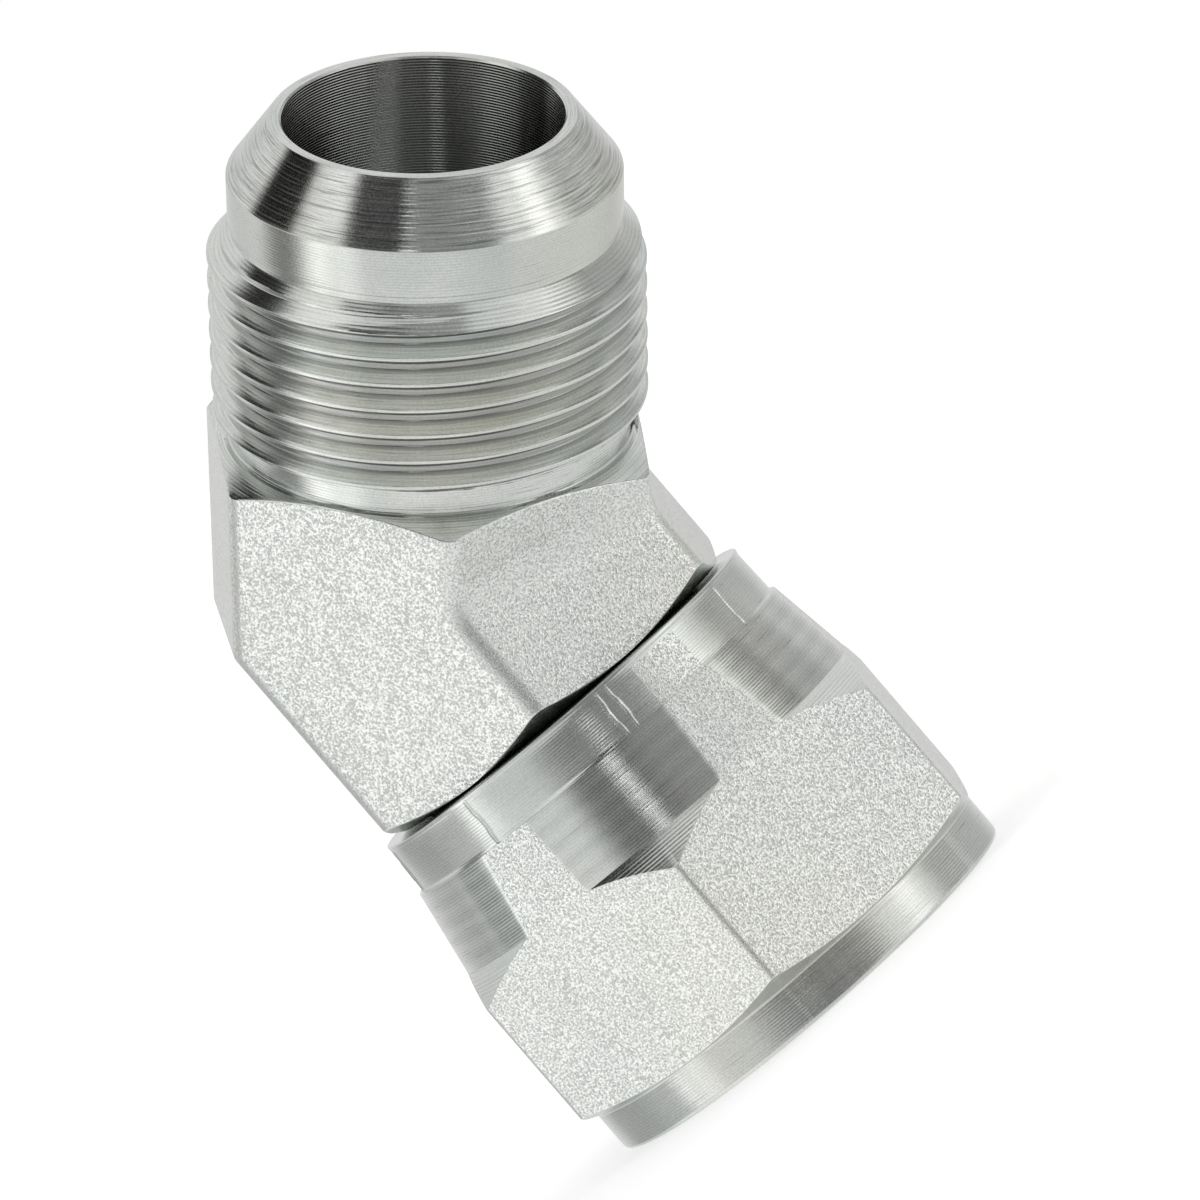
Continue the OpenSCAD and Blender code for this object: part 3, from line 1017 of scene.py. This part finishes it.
# The studio as the photographer saw it. Each card is a soft rectangle of sky with its own brightness:
# bearing from the photographer's place (to the right), height, half width and half height in degrees,
# softness of its edges in degrees, brightness. Later cards lie over earlier ones.
STUDIO_BASE = 0.93
STUDIO_CARDS = [
    (180, 0, 48, 24, 16, 0.78),
    (20, -24, 40, 14, 10, 0.8),
    (0, -76, 180, 18, 5, 1.2),
    (-105, -46, 30, 8, 8, 0.65),
    (-138, -33, 24, 14, 10, 0.55),
    (6, 5, 32, 28, 9, 0.34),
    (6, -8, 12, 8, 7, 0.28),
    (-25, 24, 17, 17, 6, 0.04),
    (-27, 6, 9, 10, 6, 0.15),
    (-8.5, 8, 4, 4, 1.6, 2.6),
    (-4, 43, 22, 9, 6, 0.3),
    (35, 46, 14, 10, 8, 1.0),
    (62, 26, 19, 20, 8, 1.15),
    (64, 27, 7, 12, 5, 1.7),
    (-54, 24, 9, 26, 5, 1.15),
    (-89, 28, 17, 15, 5, 0.0),
    (-92, 12, 13, 7, 7, 0.25),
    (-98, 50, 19, 12, 5, 0.04),
    (-118, 62, 15, 7, 5, 0.0),
    (-66, 63, 18, 11, 7, 1.25),
    (-101, -20, 11, 12, 5, 0.28),
    (-66, -42, 14, 12, 8, 1.4),
    (-78, -33, 8, 8, 5, 1.8),
    (110, 44, 28, 15, 9, 0.52),
    (82, 57, 17, 9, 4, 0.3),
    (140, 26, 18, 12, 10, 0.65),
]

# The camera of the photograph, fitted to the thread and the flats
CAMERA_PLACE = (0.37722, -0.50111, 0.07121)
CAMERA_RIGHT = (0.63402, 0.41740, -0.65099)
CAMERA_UP = (0.49860, 0.42284, 0.75671)
CAMERA_BACK = (0.59112, -0.80435, 0.05997)
CAMERA_LENS = 244.24
SENSOR_WIDTH = 36


def make_world():
    """White behind the object. Its light and reflections come from the studio's cards."""
    world = bpy.data.worlds.new("studio")
    bpy.context.scene.world = world
    tree = Tree(world=world)
    direction = tree.add("ShaderNodeTexCoord").outputs["Generated"]
    rightward = tree.vector("DOT_PRODUCT", direction, CAMERA_RIGHT)
    upward = tree.vector("DOT_PRODUCT", direction, CAMERA_UP)
    backward = tree.vector("DOT_PRODUCT", direction, CAMERA_BACK)
    bearing = tree.math("DEGREES", tree.math("ARCTAN2", rightward, backward))
    height = tree.math("DEGREES", tree.math("ARCSINE", upward))
    level = STUDIO_BASE
    for card_bearing, card_height, half_width, half_height, soft, brightness in STUDIO_CARDS:
        beside = tree.math("WRAP", tree.math("SUBTRACT", bearing, card_bearing), 180, -180)
        beside = tree.math("ABSOLUTE", beside)
        above = tree.math("ABSOLUTE", tree.math("SUBTRACT", height, card_height))
        share = tree.math(
            "MULTIPLY",
            tree.remap(beside, half_width - soft, half_width + soft, 1, 0, "SMOOTHSTEP"),
            tree.remap(above, half_height - soft, half_height + soft, 1, 0, "SMOOTHSTEP"),
        )
        level = tree.mixed(share, level, brightness)
    path = tree.add("ShaderNodeLightPath")
    tree.put(tree.shader.inputs["Strength"], tree.mixed(path.outputs["Is Camera Ray"], level, 1.0))
    tree.shader.inputs["Color"].default_value = WHITE


def make_camera():
    """Camera at the photographer's place."""
    data = bpy.data.cameras.new("camera")
    data.lens = CAMERA_LENS
    data.sensor_width = SENSOR_WIDTH
    data.clip_start = 0.01
    data.clip_end = 20
    camera = bpy.data.objects.new("camera", data)
    bpy.context.scene.collection.objects.link(camera)
    columns = Matrix((CAMERA_RIGHT, CAMERA_UP, CAMERA_BACK)).transposed()
    camera.matrix_world = Matrix.Translation(CAMERA_PLACE) @ columns.to_4x4()
    bpy.context.scene.camera = camera


bpy.context.scene.view_settings.view_transform = "Standard"
make_camera()
make_world()
make_floor()

forged = blasted_zinc("blasted_zinc")
elbow = make_elbow(elbow_materials(forged))
nut = make_nut(nut_materials(forged))
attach(elbow, "body")
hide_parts("elbow_body")
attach(nut, "nut")
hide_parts("swivel_nut")
